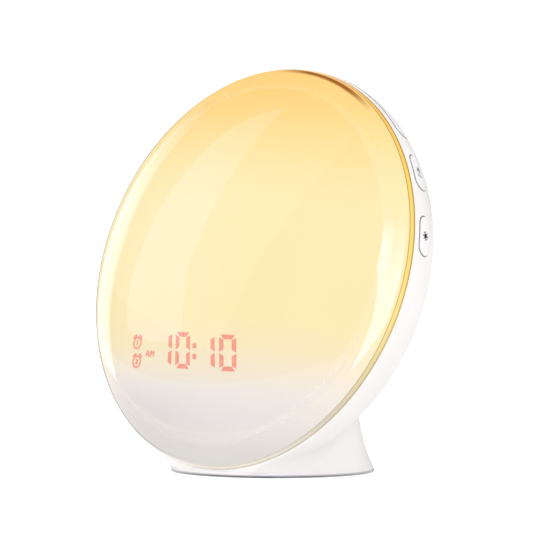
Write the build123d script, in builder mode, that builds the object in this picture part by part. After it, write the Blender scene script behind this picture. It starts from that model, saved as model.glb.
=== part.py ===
from build123d import *
import math
import os

os.makedirs("parts", exist_ok=True)

# ------------------------------------------------------------------ driving sizes (mm, degrees)
# Lamp: a round bowl whose open mouth leans back from upright.
shell_radius = 87.5
shell_depth = 41.6
shell_fullness = 0.66  # share of the depth and radius at which the bowl's curve turns
wall = 2.2
lean = 17.25
disc_forward = 14.0  # mouth centre ahead of the foot's centre
rim_height = 2.84  # lowest point of the mouth above the table
lip_thickness = 1.3  # inward lip of the mouth, under the diffuser's edge
lip_width = 5.5

# Foot and neck, which the bowl stands on.
foot_half_width = 44.0
foot_half_depth = 42.0
waist_half_width = 41.8
waist_half_depth = 35.5
foot_gap = 0.8  # shell and cover above the table, which only the rubber feet touch
foot_lip = 2.4
neck_blend = 8.5

# Clear lens with a rounded shoulder and an upright side band.
lens_band = 2.45
lens_wall = 2.4
lens_step = 0.5  # side of the lens in from the shell's side
lens_taper = 0.74  # the band narrows this much towards the face
lens_dome = 16.0
lens_shoulder = 6.0
lens_flat = 45.0
lens_bulge = 0.54  # how far the curve's shoulder point stands out past the band
lens_slack = 0.2  # diffuser's edge in from the lens

adhesive_margin = 0.5
adhesive_depth = 0.5

# Milky diffuser: a low bell.
diffuser_wall = 1.5
diffuser_top = 12.5
diffuser_inner_pull = 34.0
diffuser_outer_pull = 50.0

# Light engine.
board = 1.6
led_board_depth = 12.2  # face of the LED board behind the lens's front edge
led_board_margin = 8.5
led_size = 3.5
led_height = 1.6
led_pitch = 17.0
led_margin = 6.0
led_floor = -12.0  # the LEDs stay above this line, so the lower part of the lamp is dim
reflector_wall = 1.0
reflector_foot_margin = 21.5
reflector_mouth_margin = 14.9
reflector_depth = 3.5
reflector_slack = 0.6

# Display: digits on an upright layout, which leans a little to look upright from the clock's right.
digit_height = 15.1
digit_lean = 2.5
digit_width = 9.3
digit_pitch = 12.0
colon_room = 3.1
stroke = 2.25
level_stroke = 1.9  # top and bottom segments
display_drop = 35.3  # middle of the digits below the mouth's centre
display_edge_margin = 4.7
segment_inset = 0.8  # ends of the top and bottom segments in from the digit's sides
segment_gap = 0.32  # half the gap between a digit's upper and lower segments
segment_end = 1.25
colon_height = 2.1
colon_half_pitch = 2.25
icon_radius = 2.7
icon_stroke = 0.75
icon_pitch = 7.8
icon_step = 1.3  # the lower icon stands this far in, along the curve of the rim
icons_drop = 2.1  # icons and letters sit below the digits' middle
letters_drop = 2.3
icon_to_letters = 9.5
icon_to_digit = 23.8
inlay_depth = 0.8  # tinted inlays in the face of the diffuser
inlay_proud = 0.12
inlay_slack = 0.06
display_board_thickness = 1.2
display_board_ahead = 4.0  # face of the display's board ahead of the mouth's centre
housing_margin = 1.5
board_overhang = 2.0
standoff_diameter = 4.5

# Keys in the rim.
key_length = 17.0
key_width = 8.0
key_depth = 9.0  # centre line behind the lens's front edge
key_gap = 0.25
key_proud = 0.35
key_travel = 0.5
key_edge = 0.5
lower_key_angle = 78.0
upper_key_angle = 58.7
snooze_half_angle = 46.0
snooze_switch_x = 22.0
flange_margin = 1.0
flange_thickness = 1.4
flange_margin_in = 5.3  # flange's outer face in from the shell's side

# Switches on the edge of the LED board.
switch_size = 7.0
switch_deep = 4.0
switch_margin = 13.0
plunger_diameter = 2.4
plunger_start = 1.0  # a plunger begins this far inside its switch
snooze_rib = 5.0

# Fasteners and inner fits.
fit = 0.25
screw_diameter = 2.5
screw_head_diameter = 5.0
screw_head_height = 1.2
screw_slot = 0.7
boss_diameter = 7.0
pilot_slack = 0.1
post_diameter = 6.0

# Tray and main board.
tray_thickness = 1.6
tray_margin = 7.5
tray_screw_margin = 16.5
tray_screw_angles = (38.0, -38.0, 128.0, -128.0)
main_board_width = 96.0
main_board_height = 70.0
main_board_gap = 3.6
link_length = 20.0
link_width = 5.0
board_post_inset = 6.0
board_rise = 2.0  # middle of the main board above the lamp's middle
capacitor_diameter = 7.0
capacitor_height = 8.0
capacitor_places = ((-36, -14), (-36, -4), (37, 14))
# place on the main board, then width, height and thickness
chips = (
    ((-22, 6), (14, 14, 1.2)),
    ((24, 10), (10, 8, 1.4)),
    ((26, -8), (6, 5, 1.2)),
    ((-6, -20), (9, 5, 1.6)),
)

# Speaker, which faces the grille at the pole of the bowl.
speaker_radius = 21.5
speaker_magnet_radius = 10.5
speaker_depth = 8.5
speaker_gasket = 1.0
speaker_land = 3.5  # width of the ring the speaker is seated on
speaker_flange = 1.5
speaker_screw_margin = 5.5
terminal_reach = 13.5
grille_hole = 1.8
grille_pitch = 4.0
grille_rings = 4

# Foot contents.
cover_thickness = 2.0
cover_side_gap = 0.9
cover_end_gap = 1.6
cover_shift = 0.5
cover_screw_seat = 0.8
boss_height = 7.0
foot_pad_diameter = 10.0
foot_pad_recess = 0.3
cell_diameter = 20.0
cell_height = 3.2
door_length = 32.0
door_width = 24.0
door_y = -8.0
door_thickness = 1.4
door_frame = 4.0
cell_well_roof = 1.2
contact_length = 14.0
contact_width = 4.0
door_screw_head = 0.7
power_board_width = 40.0
power_board_length = 20.0
power_board_height = 6.0
jack_width = 9.0
jack_length = 14.0
jack_barrel = 8.0
jack_bore = 6.4
jack_pin = 2.1
jack_bore_depth = 9.5
jack_sunk = 2.0  # inlet's mouth in from the neck's outer face
socket_width = 7.0
socket_height = 5.0
lead_diameter = 2.2
thin_lead_diameter = 1.4

# ------------------------------------------------------------------ frames of the leaning lamp
c = math.cos(math.radians(lean))
s = math.sin(math.radians(lean))
across = Vector(1, 0, 0)
upward = Vector(0, s, c)
outward = Vector(0, -c, s)
centre = Vector(0, -disc_forward, rim_height + shell_radius * c)
axis = Axis(centre, outward)
disc = Plane(origin=centre, x_dir=across, z_dir=outward)
section = Plane(origin=centre, x_dir=across, z_dir=across.cross(outward))
far = 400.0


def spoke(angle):
    """Direction in the disc, at an angle clockwise from its top."""
    turn = math.radians(angle)
    return across * math.sin(turn) + upward * math.cos(turn)


def cut_plane(angle):
    """Plane through the axis: local x is the radius, local y is out of the face."""
    return Plane(origin=centre, x_dir=spoke(angle), z_dir=spoke(angle).cross(outward))


def rim_plane(angle, radius, depth):
    """Plane square to a spoke, looking outward from the axis; local x runs along the rim."""
    origin = centre + spoke(angle) * radius - outward * depth
    return Plane(origin=origin, x_dir=spoke(angle + 90), z_dir=spoke(angle))


def disc_point(x, y, depth):
    return centre + across * x + upward * y - outward * depth


def disc_plane(x, y, depth, facing=1):
    return Plane(origin=disc_point(x, y, depth), x_dir=across, z_dir=outward * facing)


def front_plane(ahead):
    """Upright plane ahead of the mouth's centre, with local y up."""
    return Plane(origin=centre + Vector(0, -ahead, 0), x_dir=across, z_dir=(0, -1, 0))


# ------------------------------------------------------------------ curves shared by several pieces
def bowl_curve(radius, depth):
    turn = -lens_band - shell_fullness * depth
    pole = -lens_band - depth
    return Bezier((radius, -lens_band), (radius, turn), (shell_fullness * radius, pole), (0, pole))


lens_side = shell_radius - lens_step
lens_face = lens_side - lens_taper
diffuser_radius = lens_face - lens_wall - lens_slack
diffuser_rim = -lens_band + diffuser_wall


def bell_curve(drop):
    return Bezier(
        (0, diffuser_top - drop),
        (diffuser_inner_pull, diffuser_top - drop),
        (diffuser_outer_pull, diffuser_rim - drop),
        (diffuser_radius, diffuser_rim - drop),
    )


# height, half width, half depth and middle of the neck's level sections
neck_sections = (
    (-34, foot_half_width + 9, foot_half_depth + 10, 0),
    (0, foot_half_width, foot_half_depth, 0),
    (6, foot_half_width - 1.2, foot_half_depth - 2.2, -1.2),
    (12, foot_half_width - 2, foot_half_depth - 4.2, -2.2),
    (19, waist_half_width, waist_half_depth, -3),
    (28, waist_half_width, waist_half_depth - 3, -4.7),
    (38, waist_half_width, waist_half_depth - 8, -7.5),
    (50, waist_half_width - 3, waist_half_depth - 14, -11),
)


def neck_solid(inset):
    """Neck and foot, drawn in by the inset."""
    with BuildPart() as neck:
        for height, half_width, half_depth, middle in neck_sections:
            with BuildSketch(Plane(origin=(0, middle, height))):
                Ellipse(half_width - inset, half_depth - inset)
        loft()
    return neck.part


def pegs(planes, diameter, length):
    """Round bars along each plane's z, or back along it when the length is negative."""
    with BuildPart() as bars:
        with BuildSketch(*planes):
            Circle(diameter / 2)
        extrude(amount=length)
    return bars.part


def blocks(planes, width, height, length):
    """Rectangular bars along each plane's z."""
    with BuildPart() as bars:
        with BuildSketch(*planes):
            Rectangle(width, height)
        extrude(amount=length)
    return bars.part


def screws(planes, length):
    """Cross-head screws: each plane's z points out of the head."""
    slot_planes = [plane.offset(screw_head_height) for plane in planes]
    slot_length = 0.6 * screw_head_diameter
    slot_depth = 0.5 * screw_head_height
    with BuildPart() as group:
        add(pegs(planes, screw_diameter, -length))
        add(pegs(planes, screw_head_diameter, screw_head_height))
        add(blocks(slot_planes, slot_length, screw_slot, -slot_depth), mode=Mode.SUBTRACT)
        add(blocks(slot_planes, screw_slot, slot_length, -slot_depth), mode=Mode.SUBTRACT)
    return group.part


def ring(inner, outer, front, back):
    """Ring about the lamp's axis between two depths behind the lens's front edge."""
    with BuildPart() as band:
        with BuildSketch(disc.offset(-front)):
            Circle(outer)
            Circle(inner, mode=Mode.SUBTRACT)
        extrude(amount=front - back)
    return band.part


def level_planes(places, height):
    return [Plane(origin=(x, y, height)) for x, y in places]


def disc_planes(places, depth, facing=1):
    return [disc_plane(x, y, depth, facing) for x, y in places]


def key_bar(angle, grow, radius, length):
    """Pill of one side key, grown all round, from a radius outward."""
    with BuildPart() as bar:
        with BuildSketch(rim_plane(angle, radius, key_depth)):
            SlotOverall(key_length + 2 * grow, key_width + 2 * grow)
        extrude(amount=length)
    return bar.part


def snooze_arc(grow, inner, outer, end_grow):
    """Long key over the top of the rim, grown at its sides and at its ends."""
    half_angle = snooze_half_angle + math.degrees(end_grow / shell_radius)
    with BuildPart() as arc:
        with BuildSketch(cut_plane(half_angle)):
            with Locations(((inner + outer) / 2, -key_depth)):
                Rectangle(outer - inner, key_width + 2 * grow)
        revolve(axis=axis, revolution_arc=2 * half_angle)
        for side in (-1, 1):
            end_edges = arc.edges().filter_by(Axis(centre, spoke(side * half_angle)))
            fillet(end_edges, key_width / 2 + grow - 0.05)
    return arc.part


def finish(builder, name):
    builder.part.label = name
    export_step(builder.part, f"parts/{name}.step")


# ------------------------------------------------------------------ depths and places of the inner stack
led_board_radius = shell_radius - led_board_margin
led_board_back = led_board_depth + board
tray_back = led_board_back + tray_thickness
tray_radius = shell_radius - tray_margin
main_board_front = tray_back + main_board_gap
main_board_back = main_board_front + board
pole_inside = lens_band + shell_depth - wall
speaker_seat = pole_inside - 1.35
speaker_face = speaker_seat - speaker_gasket
flange_outer = shell_radius - flange_margin_in
flange_inner = flange_outer - flange_thickness
switch_inner = shell_radius - switch_margin
switch_outer = switch_inner + switch_deep
switch_middle = led_board_depth - switch_size / 2
lip_radius = shell_radius - lip_width
pilot_diameter = screw_diameter + pilot_slack
clearance_diameter = screw_diameter + 2 * fit
sink_diameter = screw_head_diameter + 2 * fit

side_keys = {
    "key_light": lower_key_angle,
    "key_sound": upper_key_angle,
    "key_up": -upper_key_angle,
    "key_down": -lower_key_angle,
}
tray_screw_radius = shell_radius - tray_screw_margin
tray_screw_places = [
    (tray_screw_radius * math.sin(turn), tray_screw_radius * math.cos(turn))
    for turn in map(math.radians, tray_screw_angles)
]
speaker_screw_radius = speaker_radius + speaker_screw_margin
speaker_screw_places = [
    (speaker_screw_radius * math.sin(turn), speaker_screw_radius * math.cos(turn))
    for turn in map(math.radians, (0, 120, 240))
]
speaker_boss_top = speaker_face - 3.5
board_post_places = [
    (
        side * (main_board_width / 2 - board_post_inset),
        board_rise + end * (main_board_height / 2 - board_post_inset),
    )
    for side in (-1, 1)
    for end in (-1, 1)
]
link_place = [(0, main_board_height / 2 - board_post_inset)]

# Screws of the foot's cover stand in bosses that run into the neck's wall.
boss_inset = wall + boss_diameter / 2 - 1.1
neck_middle = -2.2
neck_half_width = foot_half_width - 2
neck_half_depth = foot_half_depth - 4.2
boss_turn = math.radians(30)
cover_screw_places = [
    (
        side * (neck_half_width - boss_inset) * math.cos(boss_turn),
        neck_middle + end * (neck_half_depth - boss_inset) * math.sin(boss_turn),
    )
    for side in (-1, 1)
    for end in (-1, 1)
]
cover_top = foot_gap + cover_thickness
boss_top = cover_top + boss_height

# DC inlet, on a board in the foot, which looks out of the back of the neck.
power_board_top = power_board_height + board
jack_height = power_board_top + jack_width / 2
jack_wall = neck_middle + neck_half_depth
jack_back = jack_wall - wall - 3.2
jack_mouth = jack_wall - jack_sunk

# Adhesive under the lens, and the reflector.
adhesive_outer = lens_side - adhesive_margin
adhesive_inner = lens_side - lens_wall + adhesive_margin
reflector_foot = shell_radius - reflector_foot_margin
reflector_mouth = shell_radius - reflector_mouth_margin
reflector_edge = lip_radius - 2.0
led_limit = reflector_foot - led_margin
led_grid = [
    (led_pitch * (column + 0.5 * (row % 2)), led_floor + 0.87 * led_pitch * row)
    for row in range(6)
    for column in range(-4, 5)
]
led_places = [(x, y) for x, y in led_grid if math.hypot(x, y) < led_limit]

# Display places, across and up from the mouth's centre.
display_y = -display_drop
icon_low = display_drop + icon_pitch / 2 + icon_radius
icon_x = -math.sqrt((reflector_mouth - display_edge_margin) ** 2 - icon_low**2) - icon_step / 3
letters_x = icon_x + icon_to_letters
first_digit = icon_x + icon_to_digit
digit_rights = (
    first_digit,
    first_digit + digit_pitch,
    first_digit + 2 * digit_pitch + colon_room,
    first_digit + 3 * digit_pitch + colon_room,
)
colon_x = digit_rights[1] + (digit_pitch + colon_room - digit_width) / 2
display_left = icon_x - icon_radius - 0.5
display_right = digit_rights[3]
display_length = display_right - display_left
display_middle = (display_left + display_right) / 2
display_board_y = display_y * c
standoff_places = [(display_left + 18, display_board_y), (display_right - 5, display_board_y)]

# Switches and plungers of the snooze bar.
snooze_switch_y = switch_inner - 3.5
snooze_rib_end = snooze_switch_y + switch_deep + 2

# Speaker grille.
grille_places = [(0, 0)] + [
    (
        grille_pitch * number * math.sin(2 * math.pi * step / (6 * number)),
        grille_pitch * number * math.cos(2 * math.pi * step / (6 * number)),
    )
    for number in range(1, grille_rings + 1)
    for step in range(6 * number)
]
grille_planes = disc_planes(grille_places, pole_inside - 1)

# Foot contents.
cell_base = foot_gap + door_thickness + 0.1
cell_roof = cell_base + cell_height + 0.6
power_board_y = door_y + (door_width + 3) / 2 + 1.5 + power_board_length / 2
power_post_places = [
    (side * (power_board_width / 2 - 3), power_board_y + end * (power_board_length / 2 - 3))
    for side in (-1, 1)
    for end in (-1, 1)
]
foot_places = [(side * 20, y) for side in (-1, 1) for y in (-27, 26)]
power_lead_x = -9.5
power_socket_y = power_board_y - 4
main_socket_y = board_rise - main_board_height / 2 + 5
terminal_place = [(0, terminal_reach)]
battery_lead_x = 5.0

# ------------------------------------------------------------------ rear shell
# everything ahead of the mouth, above the foot's lip
with BuildPart() as mouth_space:
    with BuildSketch(disc.offset(-lens_band)):
        Circle(far)
    extrude(amount=far)
    with BuildSketch(Plane.XY.offset(foot_lip)):
        Rectangle(2 * far, 2 * far)
    extrude(amount=far, mode=Mode.INTERSECT)
    add(pegs([disc.offset(-lens_band)], 2 * shell_radius + 0.8, 100))

blank_front = neck_blend + 3.0  # the blank runs on ahead of the mouth, so the blend ends cleanly
with BuildPart() as shell_body:
    with BuildSketch(section):
        with BuildLine():
            Line((0, blank_front), (shell_radius, blank_front))
            Line((shell_radius, blank_front), (shell_radius, -lens_band))
            bowl_curve(shell_radius, shell_depth)
            Line((0, -lens_band - shell_depth), (0, blank_front))
        make_face()
    revolve(axis=axis)
    add(neck_solid(0))
    seam = shell_body.edges().filter_by(GeomType.BSPLINE).filter_by_position(Axis.Z, 2, 48)
    fillet(seam, neck_blend)
    with BuildSketch(Plane.XY.offset(foot_gap)):
        Rectangle(far, far)
    extrude(amount=-far, mode=Mode.SUBTRACT)
    add(mouth_space.part, mode=Mode.SUBTRACT)
    with BuildSketch(Plane.XY):
        Rectangle(far, far)
        Ellipse(foot_half_width, foot_half_depth, mode=Mode.SUBTRACT)
    extrude(amount=foot_lip, mode=Mode.SUBTRACT)

with BuildPart() as bowl_space:
    with BuildSketch(section):
        with BuildLine():
            Line((0, -lens_band), (shell_radius - wall, -lens_band))
            bowl_curve(shell_radius - wall, shell_depth - wall)
            Line((0, -lens_band - shell_depth + wall), (0, -lens_band))
        make_face()
    revolve(axis=axis)

with BuildPart() as neck_space:
    add(neck_solid(wall))
    with BuildSketch(disc.offset(-lens_band - wall)):
        Circle(far)
    extrude(amount=-far, mode=Mode.INTERSECT)

with BuildPart() as shell_bosses:
    add(pegs(disc_planes(tray_screw_places, tray_back), boss_diameter, -far))
    add(ring(speaker_radius - speaker_land, speaker_radius + 0.5, speaker_seat, far))
    add(pegs(disc_planes(speaker_screw_places, speaker_boss_top), boss_diameter, -far))
    add(shell_body.part, mode=Mode.INTERSECT)

with BuildPart() as rear_shell:
    add(shell_body.part)
    add(bowl_space.part, mode=Mode.SUBTRACT)
    add(neck_space.part, mode=Mode.SUBTRACT)
    add(shell_bosses.part)
    foot_planes = level_planes(cover_screw_places, cover_top)
    add(pegs(foot_planes, boss_diameter, boss_top - cover_top))
    add(ring(lip_radius, shell_radius - 0.8, lens_band, lens_band + lip_thickness))

    # groove of the lens's adhesive ring
    add(ring(adhesive_inner, adhesive_outer, lens_band, lens_band + adhesive_depth), mode=Mode.SUBTRACT)
    # screw pilots
    add(pegs(disc_planes(tray_screw_places, tray_back), pilot_diameter, -8), mode=Mode.SUBTRACT)
    add(pegs(disc_planes(speaker_screw_places, speaker_boss_top), pilot_diameter, -4.5), mode=Mode.SUBTRACT)
    add(pegs(foot_planes, pilot_diameter, boss_height - 1), mode=Mode.SUBTRACT)
    # keys
    for angle in side_keys.values():
        add(key_bar(angle, key_gap, flange_outer - 0.1, far), mode=Mode.SUBTRACT)
    add(snooze_arc(key_gap, flange_outer - 0.1, shell_radius + 5, key_gap + 0.4), mode=Mode.SUBTRACT)
    # DC inlet
    jack_axis = Plane(origin=(0, jack_back - 5, jack_height), x_dir=(1, 0, 0), z_dir=(0, 1, 0))
    add(pegs([jack_axis], jack_barrel + 2 * fit, far), mode=Mode.SUBTRACT)
    # speaker grille
    add(pegs(grille_planes, grille_hole, -far), mode=Mode.SUBTRACT)
finish(rear_shell, "rear_shell")

# ------------------------------------------------------------------ front lens and its adhesive ring
with BuildPart() as front_lens:
    with BuildSketch(section):
        with BuildLine():
            Bezier(
                (0, lens_dome),
                (lens_flat, lens_dome),
                (lens_face + lens_bulge, lens_shoulder),
                (lens_face, 0),
            )
            Line((lens_face, 0), (lens_side, -lens_band))
            Line((lens_side, -lens_band), (lens_side - lens_wall, -lens_band))
            Line((lens_side - lens_wall, -lens_band), (lens_face - lens_wall, 0))
            Bezier(
                (lens_face - lens_wall, 0),
                (lens_face + lens_bulge - lens_wall, lens_shoulder - 0.6 * lens_wall),
                (lens_flat - 1, lens_dome - lens_wall),
                (0, lens_dome - lens_wall),
            )
            Line((0, lens_dome - lens_wall), (0, lens_dome))
        make_face()
    revolve(axis=axis)
finish(front_lens, "front_lens")

with BuildPart() as lens_adhesive:
    add(ring(adhesive_inner + 0.1, adhesive_outer - 0.1, lens_band, lens_band + adhesive_depth))
finish(lens_adhesive, "lens_adhesive")


# ------------------------------------------------------------------ display
def bar(start, end, width):
    """Straight stroke with round ends."""
    run = Vector(*end) - Vector(*start)
    middle = (Vector(*end) + Vector(*start)) * 0.5
    with BuildSketch(Plane.XY) as piece:
        with Locations(Location((middle.X, middle.Y), math.degrees(math.atan2(run.Y, run.X)))):
            SlotCenterToCenter(run.length, width)
    return piece.sketch


def leant(point, middle):
    """The point, moved along its row by the digits' lean about a middle height."""
    return (point[0] - (point[1] - middle) * math.tan(math.radians(digit_lean)), point[1])


def digit_bars(right, middle, shown):
    """Seven-segment digit: its right edge, its middle height and its lit segments, leaning."""
    half = digit_height / 2
    left = right - digit_width
    slant = 0.45 * stroke
    corner = 0.85 * level_stroke
    shapes = {
        "top": [
            (left + segment_inset, middle + half),
            (right - segment_inset, middle + half),
            (right - segment_inset - corner, middle + half - level_stroke),
            (left + segment_inset + corner, middle + half - level_stroke),
        ],
        "bottom": [
            (left + segment_inset + corner, middle - half + level_stroke),
            (right - segment_inset - corner, middle - half + level_stroke),
            (right - segment_inset, middle - half),
            (left + segment_inset, middle - half),
        ],
    }
    for side, edge, turn in (("right", right, -1), ("left", left, 1)):
        inner = edge + turn * stroke
        for end, way in (("upper", 1), ("lower", -1)):
            shapes[f"{end} {side}"] = [
                (edge, middle + way * segment_gap),
                (edge, middle + way * (half - segment_end)),
                (inner, middle + way * (half - segment_end - slant)),
                (inner, middle + way * (segment_gap + slant)),
            ]
    with BuildSketch(Plane.XY) as piece:
        for name in shown:
            with BuildLine():
                Polyline(*(leant(point, middle) for point in shapes[name]), close=True)
            make_face()
    return piece.sketch


def alarm_icon(x, y, number):
    """Bell alarm clock with its number on the dial."""
    with BuildSketch(Plane.XY) as piece:
        with Locations((x, y)):
            Circle(icon_radius)
            Circle(icon_radius - icon_stroke, mode=Mode.SUBTRACT)
        for side in (-1, 1):
            near = (x + side * 1.3, y + icon_radius + 0.35)
            add(bar(near, (x + side * 2.4, y + icon_radius - 0.6), 1.0))
        if number == 1:
            add(bar((x, y - 0.75), (x, y + 0.75), icon_stroke))
        else:
            add(bar((x - 0.5, y + 0.85), (x + 0.45, y + 0.5), icon_stroke))
            add(bar((x + 0.45, y + 0.5), (x - 0.5, y - 0.8), icon_stroke))
            add(bar((x - 0.5, y - 0.8), (x + 0.55, y - 0.8), icon_stroke))
    return piece.sketch


def letters_am(x, y):
    """The letters AM, centred."""
    low, high = y - 0.95, y + 0.95
    strokes = (
        ((-2.65, low), (-1.7, high)),
        ((-1.7, high), (-0.75, low)),
        ((-2.2, y - 0.3), (-1.2, y - 0.3)),
        ((0.35, low), (0.35, high)),
        ((0.35, high), (1.35, y)),
        ((1.35, y), (2.35, high)),
        ((2.35, high), (2.35, low)),
    )
    with BuildSketch(Plane.XY) as piece:
        for start, end in strokes:
            add(bar((x + start[0], start[1]), (x + end[0], end[1]), icon_stroke))
    return piece.sketch


nought = ("top", "bottom", "upper right", "lower right", "upper left", "lower left")
one = ("upper right", "lower right")
glyph_lead = 60
display_front = front_plane(glyph_lead)

with BuildSketch(Plane.XY) as glyphs:
    add(digit_bars(digit_rights[0], display_y, one))
    add(digit_bars(digit_rights[1], display_y, nought))
    add(digit_bars(digit_rights[2], display_y, one))
    add(digit_bars(digit_rights[3], display_y, nought))
    for way in (-1, 1):
        with Locations(leant((colon_x, display_y + way * colon_half_pitch), display_y)):
            Rectangle(stroke, colon_height)
    add(alarm_icon(icon_x, display_y + icon_pitch / 2 - icons_drop, 1))
    add(alarm_icon(icon_x + icon_step, display_y - icon_pitch / 2 - icons_drop, 2))
    add(letters_am(letters_x, display_y - letters_drop))


def glyph_bars(grow):
    """Bars behind every glyph, grown all round, from ahead of the lens to the display's board."""
    with BuildPart() as bars:
        with BuildSketch(display_front):
            add(glyphs.sketch)
            if grow:
                offset(amount=grow, kind=Kind.INTERSECTION)
        extrude(amount=display_board_ahead - glyph_lead)
    return bars.part


def under_bell(drop):
    """Space behind the diffuser's front surface, lowered by the drop."""
    with BuildPart() as space:
        with BuildSketch(section):
            with BuildLine():
                bell_curve(drop)
                Line((diffuser_radius, diffuser_rim - drop), (diffuser_radius, -shell_radius))
                Line((diffuser_radius, -shell_radius), (0, -shell_radius))
                Line((0, -shell_radius), (0, diffuser_top - drop))
            make_face()
        revolve(axis=axis)
    return space.part


with BuildPart() as reflector_room:
    with BuildSketch(section):
        with BuildLine():
            Polyline(
                (0, shell_radius),
                (reflector_mouth - reflector_slack, shell_radius),
                (reflector_mouth - reflector_slack, -reflector_depth),
                (reflector_foot - reflector_slack, fit - led_board_depth),
                (0, fit - led_board_depth),
                close=True,
            )
        make_face()
    revolve(axis=axis)

with BuildPart() as display_segments:
    add(glyph_bars(0))
    add(under_bell(-inlay_proud), mode=Mode.INTERSECT)
    add(under_bell(inlay_depth), mode=Mode.SUBTRACT)
finish(display_segments, "display_segments")

with BuildPart() as display_housing:
    with BuildSketch(display_front):
        with Locations((display_middle, display_y)):
            Rectangle(display_length + 2 * housing_margin, digit_height + 2 * housing_margin)
    extrude(amount=display_board_ahead - glyph_lead)
    add(under_bell(diffuser_wall + fit), mode=Mode.INTERSECT)
    add(reflector_room.part, mode=Mode.INTERSECT)
    fillet(display_housing.edges().filter_by(Axis.Y), 1)
finish(display_housing, "display_housing")

with BuildPart() as display_board:
    with BuildSketch(front_plane(display_board_ahead)):
        with Locations((display_middle, display_y)):
            Rectangle(display_length + 2 * board_overhang, digit_height + 2 * board_overhang)
    extrude(amount=-display_board_thickness)
    add(reflector_room.part, mode=Mode.INTERSECT)
finish(display_board, "display_board")

with BuildPart() as display_standoffs:
    add(pegs(disc_planes(standoff_places, led_board_depth), standoff_diameter, far))
    with BuildSketch(front_plane(display_board_ahead - display_board_thickness)):
        Rectangle(far, far)
    extrude(amount=-far, mode=Mode.INTERSECT)
finish(display_standoffs, "display_standoffs")

with BuildPart() as display_header:
    header_plane = front_plane(display_board_ahead - display_board_thickness)
    with BuildSketch(header_plane):
        with Locations((display_middle, display_y + 2)):
            Rectangle(16, 2.5)
    extrude(amount=-shell_depth)
    with BuildSketch(disc.offset(-led_board_depth)):
        Rectangle(far, far)
    extrude(amount=far, mode=Mode.INTERSECT)
finish(display_header, "display_header")

# ------------------------------------------------------------------ diffuser and reflector
with BuildPart() as inlay_recesses:
    add(glyph_bars(inlay_slack))
    add(under_bell(inlay_depth), mode=Mode.SUBTRACT)

with BuildPart() as diffuser:
    add(under_bell(0))
    add(under_bell(diffuser_wall), mode=Mode.SUBTRACT)
    add(inlay_recesses.part, mode=Mode.SUBTRACT)
finish(diffuser, "diffuser")

with BuildPart() as reflector:
    with BuildSketch(section):
        with BuildLine():
            Polyline(
                (reflector_foot, -led_board_depth),
                (reflector_foot + reflector_wall, -led_board_depth),
                (reflector_mouth + reflector_wall, -reflector_depth - reflector_wall),
                (reflector_edge, -reflector_depth - 0.4),
                (reflector_edge, -reflector_depth + 0.6),
                (reflector_mouth, -reflector_depth),
                close=True,
            )
        make_face()
    revolve(axis=axis)
finish(reflector, "reflector")

# ------------------------------------------------------------------ LED board, its LEDs and its switches
with BuildPart() as led_board:
    add(pegs([disc.offset(-led_board_depth)], 2 * led_board_radius, -board))
    add(pegs(disc_planes(tray_screw_places, 0), clearance_diameter, -far), mode=Mode.SUBTRACT)
finish(led_board, "led_board")

with BuildPart() as led_chips:
    with BuildSketch(disc.offset(-led_board_depth)):
        with Locations(*led_places):
            Rectangle(led_size, led_size)
    extrude(amount=led_height)
finish(led_chips, "led_chips")

switch_planes = [rim_plane(angle, switch_inner, switch_middle) for angle in side_keys.values()]
plunger_planes = {
    name: rim_plane(angle, switch_outer - plunger_start, key_depth) for name, angle in side_keys.items()
}


def snooze_planes(height, depth):
    """Planes that look up through the snooze key, one on each side."""
    points = [disc_point(side * snooze_switch_x, height, depth) for side in (-1, 1)]
    return [Plane(origin=point, x_dir=across, z_dir=upward) for point in points]


snooze_switch_planes = snooze_planes(snooze_switch_y, switch_middle)
snooze_plunger_planes = snooze_planes(snooze_switch_y + switch_deep - plunger_start, key_depth)
plunger_holes = list(plunger_planes.values()) + snooze_plunger_planes

with BuildPart() as switch_bodies:
    add(blocks(switch_planes + snooze_switch_planes, switch_size, switch_size, switch_deep))
    hole_planes = [plane.offset(-key_travel - 0.4) for plane in plunger_holes]
    add(pegs(hole_planes, plunger_diameter + 2 * fit, 10), mode=Mode.SUBTRACT)
finish(switch_bodies, "switch_bodies")

plunger_length = flange_inner - switch_outer + plunger_start
snooze_plunger_length = snooze_rib_end - snooze_switch_y - switch_deep + plunger_start
for name, plane in plunger_planes.items():
    with BuildPart() as plunger:
        add(pegs([plane], plunger_diameter, plunger_length))
    finish(plunger, name.replace("key", "plunger"))

with BuildPart() as plunger_snooze:
    add(pegs(snooze_plunger_planes, plunger_diameter, snooze_plunger_length))
finish(plunger_snooze, "plunger_snooze")

# ------------------------------------------------------------------ keys
with BuildPart() as key_skin:
    with BuildSketch(section):
        with BuildLine():
            Line((0, -lens_band), (shell_radius + key_proud, -lens_band))
            bowl_curve(shell_radius + key_proud, shell_depth + key_proud)
            Line((0, -lens_band - shell_depth - key_proud), (0, -lens_band))
        make_face()
    revolve(axis=axis)

for name, angle in side_keys.items():
    with BuildPart() as key:
        add(key_bar(angle, 0, flange_inner, far))
        add(key_skin.part, mode=Mode.INTERSECT)
        fillet(key.faces().sort_by(Axis(centre, spoke(angle)))[-1].edges(), key_edge)
        add(key_bar(angle, flange_margin, flange_inner, flange_thickness))
    finish(key, name)

with BuildPart() as snooze_bar:
    add(snooze_arc(0, flange_outer - 0.2, shell_radius + 5, 0))
    add(key_skin.part, mode=Mode.INTERSECT)
    fillet(snooze_bar.faces().sort_by(Axis(centre, upward))[-1].edges(), key_edge)
    add(snooze_arc(flange_margin, flange_inner, flange_outer, flange_margin))
    rib_planes = snooze_planes(snooze_rib_end, key_depth)
    add(blocks(rib_planes, snooze_rib, snooze_rib, flange_outer - snooze_rib_end - 2.5))
finish(snooze_bar, "snooze_bar")

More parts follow.
